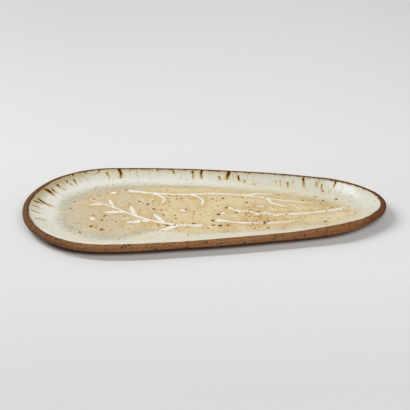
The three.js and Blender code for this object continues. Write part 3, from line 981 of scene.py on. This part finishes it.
def mark_solid(name, strokes, material):
    """A low closed mound of glaze over strokes, whose edge dips under the floor's face."""
    line = np.vstack([stroke[0] for stroke in strokes])
    low, high = line.min(0) - MARK_MARGIN, line.max(0) + MARK_MARGIN
    xs = np.arange(low[0], high[0], MARK_CELL)
    ys = np.arange(low[1], high[1], MARK_CELL)
    grid = np.stack(np.meshgrid(xs, ys, indexing="ij"), -1)
    ratio, white = mark_field(grid.reshape(-1, 2), strokes)
    ratio = ratio.reshape(grid.shape[:2])
    inside = ratio < MARK_REACH
    cells = inside[:-1, :-1] & inside[1:, :-1] & inside[:-1, 1:] & inside[1:, 1:]
    cells = closed_cells(np.pad(cells, 1))[1:-1, 1:-1]
    index = np.arange(grid.shape[0] * grid.shape[1]).reshape(grid.shape[:2])
    corners = np.stack((index[:-1, :-1], index[1:, :-1], index[1:, 1:], index[:-1, 1:]), -1)[cells]
    used, top = np.unique(corners, return_inverse=True)
    top = top.reshape(-1, 4)
    count = len(used)
    edges = {}
    for quad in top.tolist():
        for a, b in zip(quad, quad[1:] + quad[:1]):
            if (b, a) in edges:
                del edges[(b, a)]
            else:
                edges[(a, b)] = True
    sides = [[b, a, a + count, b + count] for a, b in edges]
    faces = top.tolist() + (top[:, ::-1] + count).tolist() + sides
    places = grid.reshape(-1, 2)[used]
    ratio = ratio.ravel()[used]
    rise = MARK_PROUD * (1 - smoothstep(0.2, 1.35, ratio)) - MARK_SINK * smoothstep(0.9, 1.6, ratio)
    points = np.vstack((ring_at(places, FLOOR_HEIGHT + rise), ring_at(places, FLOOR_HEIGHT - MARK_DEPTH)))
    core = (1 - smoothstep(0.3, 1.45, ratio)) * white[used]
    depth = floor_depth(places)
    doubled = {
        "core": core,
        "floor_mm": depth,
        "bend_mm": bend_depth(places, depth),
        "near_mark": np.ones(count),
        "far_side": np.zeros(count),
        "ray": ring_at(places, WELL_DOWN_THE_WALL),
    }
    attributes = {key: np.concatenate((values, values)) for key, values in doubled.items()}
    return mesh_object(name, hand_made(points), faces, attributes, material)


# Clay slab. Rings of the lip past its rounded edge: distance in from the rim, rise above it.
LIP_RINGS = ((4.1, 0.04), (5.2, 0.0), (5.8, -0.05), (6.4, -0.3), (7.2, -0.7))


def clay_rings():
    """Rings of the slab from under its middle, and how far in from the rim each one of the lip lies."""
    edge = LIP_EDGE_RADIUS
    under = RIM_HEIGHT - RIM_THICKNESS
    base = outline(FLOOR, -BASE_MARGIN)[0]
    foot = outline(RIM, edge)[0]
    middle = inwards(1.0)
    rings = [ring_at(middle + (base - middle) * share, 0.0) for share in (0, 0.35, 0.7, 0.94)]
    rings += [ring_at(base + (foot - base) * x, under * y) for x, y in bezier(UNDERSIDE_CURVE, 15)]
    for first, centre in ((-90, under + edge), (0, RIM_HEIGHT - edge)):
        for angle in np.radians(first + np.linspace(0, 90, 9)[(1 if first else 0):]):
            places = outline(RIM, edge * (1 - math.cos(angle)))[0]
            rings.append(ring_at(places, centre + edge * math.sin(angle)))
    insets = [0.0] * len(rings)
    for inset, rise in LIP_RINGS:
        share = min((inset - edge) / (LIP_WIDTH - edge), 1)
        places = outline(RIM, inset + (LIP_WIDTHS - LIP_WIDTH) * share)[0]
        rings.append(ring_at(places, RIM_HEIGHT + rise))
        insets.append(inset)
    lip = outline(RIM, LIP_WIDTHS)[0]
    floor = FLOOR_HEIGHT - CLAY_UNDER_GLAZE
    for x, y in bezier(WALL_CURVE, 12)[2:]:
        rings.append(ring_at(lip + (FLOOR_EDGE - lip) * x, floor + (RIM_HEIGHT - FLOOR_HEIGHT) * y))
    rings += [ring_at(inwards(share), floor) for share in (0.3, 0.65, 1.0)]
    insets += [LIP_WIDTH] * (len(rings) - len(insets))
    attributes = {
        "inset": np.repeat(np.array(insets)[:, None], RING_POINTS, 1),
        "far_side": np.repeat(FAR_SIDE[None], len(rings), 0),
    }
    return rings, attributes


# Glaze lining. Distances of the rings near its edge from the edge, and its rounded bead there.
EDGE_RINGS = (0.0, 0.1, 0.25, 0.45, 0.7, 1.0, 1.4, 1.9, 2.5)
NEXT_RING = 3.2
BEAD_HEIGHT = 0.1
BEAD_PLACE = 0.7
BEAD_WIDTH = 0.6
EDGE_DROP = 0.3
EDGE_ROUNDING = 0.1


def glaze_rings():
    """Rings of the lining with each one's distance from its edge, underside first, and the edge in plan."""
    lip_line = outline(RIM, LIP_WIDTHS)[0]
    wave = EDGE_WAVER * ripple(lip_line, 13, 31) + FINE_EDGE_WAVER * ripple(lip_line, 4, 32)
    wave += TIP_EDGE_WAVER * ripple(lip_line, 5, 33) * smoothstep(120, 165, lip_line[:, 0])
    lip = outline(RIM, LIP_WIDTHS + wave)[0]
    run = np.hypot(*(FLOOR_EDGE - lip).T)
    rise = RIM_HEIGHT - FLOOR_HEIGHT

    def wall_ring(x, y, drop):
        return ring_at(lip + (FLOOR_EDGE - lip) * x, FLOOR_HEIGHT + rise * y - drop), run * x

    shares = bezier(WALL_CURVE, 200)
    edge_steps = np.array(EDGE_RINGS) / run.mean()
    steps = np.concatenate((edge_steps, np.linspace(NEXT_RING / run.mean(), 1, 36)))
    heights = np.interp(steps, shares[:, 0], shares[:, 1])
    top = []
    for x, y in zip(steps, heights):
        ring, far = wall_ring(x, y, 0.0)
        ring[:, 2] += BEAD_HEIGHT * np.exp(-(((far - BEAD_PLACE) / BEAD_WIDTH) ** 2))
        ring[:, 2] -= EDGE_DROP * np.exp(-far / EDGE_ROUNDING)
        top.append((ring, far))
    for share in np.linspace(0, 1, 40)[1:]:
        places = inwards(share)
        top.append((ring_at(places, FLOOR_HEIGHT), run + np.hypot(*(places - FLOOR_EDGE).T)))
    low = FLOOR_HEIGHT - GLAZE_THICKNESS
    under = [(ring_at(inwards(share), low), run + 20) for share in (1.0, 0.6, 0.25)]
    for x, y in bezier(WALL_CURVE, 9)[:0:-1]:
        under.append(wall_ring(x, y, GLAZE_THICKNESS))
    return under + top, lip


def glaze_attributes(rings, lip):
    """The places of the lining's rings, and what its material needs to know at each."""
    places = np.array([ring for ring, _ in rings])
    flat = places.reshape(-1, 3)
    lines = np.vstack([stroke[0] for strokes in MARKS.values() for stroke in strokes])
    gap = nearest(flat, lines[::3])
    count = len(rings)
    down = np.array([run for _, run in rings])
    ray = np.concatenate((np.repeat(lip[None], count, 0), down[..., None]), -1)
    depth = floor_depth(flat)
    bend = bend_depth(flat, depth)
    return places, {
        **streak_fields(lip, down),
        "ray": ray,
        "floor_mm": depth,
        "bend_mm": bend,
        "wall_share": down.ravel() / np.maximum(down.ravel() + np.maximum(-bend, 0), 1.0),
        "far_side": np.repeat(FAR_SIDE[None], count, 0),
        "near_mark": 1 - smoothstep(1.2, 11.0, gap),
    }


body = ring_solid("clay_body", *clay_rings(), CLAY)
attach(body, "root")
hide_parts("stoneware_body")

lining = ring_solid("glaze_coat", *glaze_attributes(*glaze_rings()), GLAZE)
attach(lining, "root")
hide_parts("glaze_lining")

for node, strokes in MARKS.items():
    fill = mark_solid(node.replace("_inlay", "") + "_fill", strokes, WHITE_GLAZE)
    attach(fill, "root")
    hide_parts(node)


# Table: levels of grey from front to back, at its left and its right; painted light and shade, darker towards
# the front and on the left, that shape how the lamps' light falls off over the table
TABLE_HALF = 12000
TABLE_STOPS = (-300, -120, 40, 160, 600)
TABLE_LIGHT_LEFT = (209, 219, 219, 223, 215)
TABLE_LIGHT_RIGHT = (219, 233, 233, 238, 237)
TABLE_CLOUD = srgb(232, 232, 231)


def table_paint():
    paint = Paint("table")
    sides = []
    # Painted light and shade: the table's grey changes with place to shape the lamps' falloff
    for levels in (TABLE_LIGHT_LEFT, TABLE_LIGHT_RIGHT):
        stops = [(at, (level, level, level - 1)) for at, level in zip(TABLE_STOPS, levels)]
        sides.append(paint.ramp(paint.across, stops))
    paint.colour = paint.mix(*sides, paint.smooth(paint.along, -320, 320))
    paint.cover(TABLE_CLOUD, paint.noise(260, 51, 2, 0.5), 0.1)
    return paint.finish(0.9, paint.noise(2, 52), bump=0.02)


corners = TABLE_HALF * np.array(((-1, -1, 0), (1, -1, 0), (1, 1, 0), (-1, 1, 0)), float)
table = mesh_object("table", corners, [[0, 1, 2, 3]], {}, table_paint())

# Camera, as the photograph was taken
CAMERA_ELEVATION = math.radians(28)
CAMERA_TURN = math.radians(1.41)
CAMERA_DISTANCE = 1.208
AIM_HEIGHT = 10 * MM
PIXEL = 1.05 * MM
PIXELS_RIGHT = 0.4
PIXELS_UP = 1.6
IMAGE_WIDTH = 410
lens = bpy.data.cameras.new("camera")
lens.sensor_width = 36
lens.lens = lens.sensor_width * (CAMERA_DISTANCE / PIXEL) / IMAGE_WIDTH
lens.clip_end = 100
camera = bpy.data.objects.new("camera", lens)
camera.rotation_euler = (math.pi / 2 - CAMERA_ELEVATION, 0, -CAMERA_TURN)
camera.location = (0, 0, AIM_HEIGHT)
shift = Vector((PIXELS_RIGHT * PIXEL, PIXELS_UP * PIXEL, CAMERA_DISTANCE))
shift.rotate(camera.rotation_euler)
camera.location += shift
bpy.context.scene.collection.objects.link(camera)
bpy.context.scene.camera = camera


# Light: a long softbox over the left end, a wide fill in front, two dim ones behind and a dim surround
SURROUND_STRENGTH = 0.1


def softbox(name, place, size, energy):
    """An area light that faces the platter; its size is along the platter, then across, in metres."""
    light = bpy.data.lights.new(name, "AREA")
    light.shape = "RECTANGLE"
    light.size, light.size_y = size
    light.energy = energy
    facing = -Vector(place).normalized()
    along = Vector((1, 0, 0))
    along = (along - facing * along.dot(facing)).normalized()
    lamp = bpy.data.objects.new(name, light)
    lamp.location = place
    lamp.rotation_mode = "QUATERNION"
    lamp.rotation_quaternion = Matrix((along, along.cross(facing), -facing)).transposed().to_quaternion()
    bpy.context.scene.collection.objects.link(lamp)


softbox("key", (-1.36, 0.34, 1.4), (1.3, 0.16), 25.5)
softbox("front_fill", (0.55, -1.44, 1.6), (2.0, 0.8), 28.5)
softbox("back_left", (-1.4, 1.4, 1.4), (0.7, 1.1), 7)
softbox("backdrop", (0.3, 1.8, 1.4), (2.4, 1.2), 5)

surround = bpy.data.worlds.new("surround")
surround.use_nodes = True
background = surround.node_tree.nodes["Background"]
background.inputs["Color"].default_value = (1.0, 1.0, 1.0, 1.0)
background.inputs["Strength"].default_value = SURROUND_STRENGTH
bpy.context.scene.world = surround

bpy.context.scene.view_settings.view_transform = "Standard"
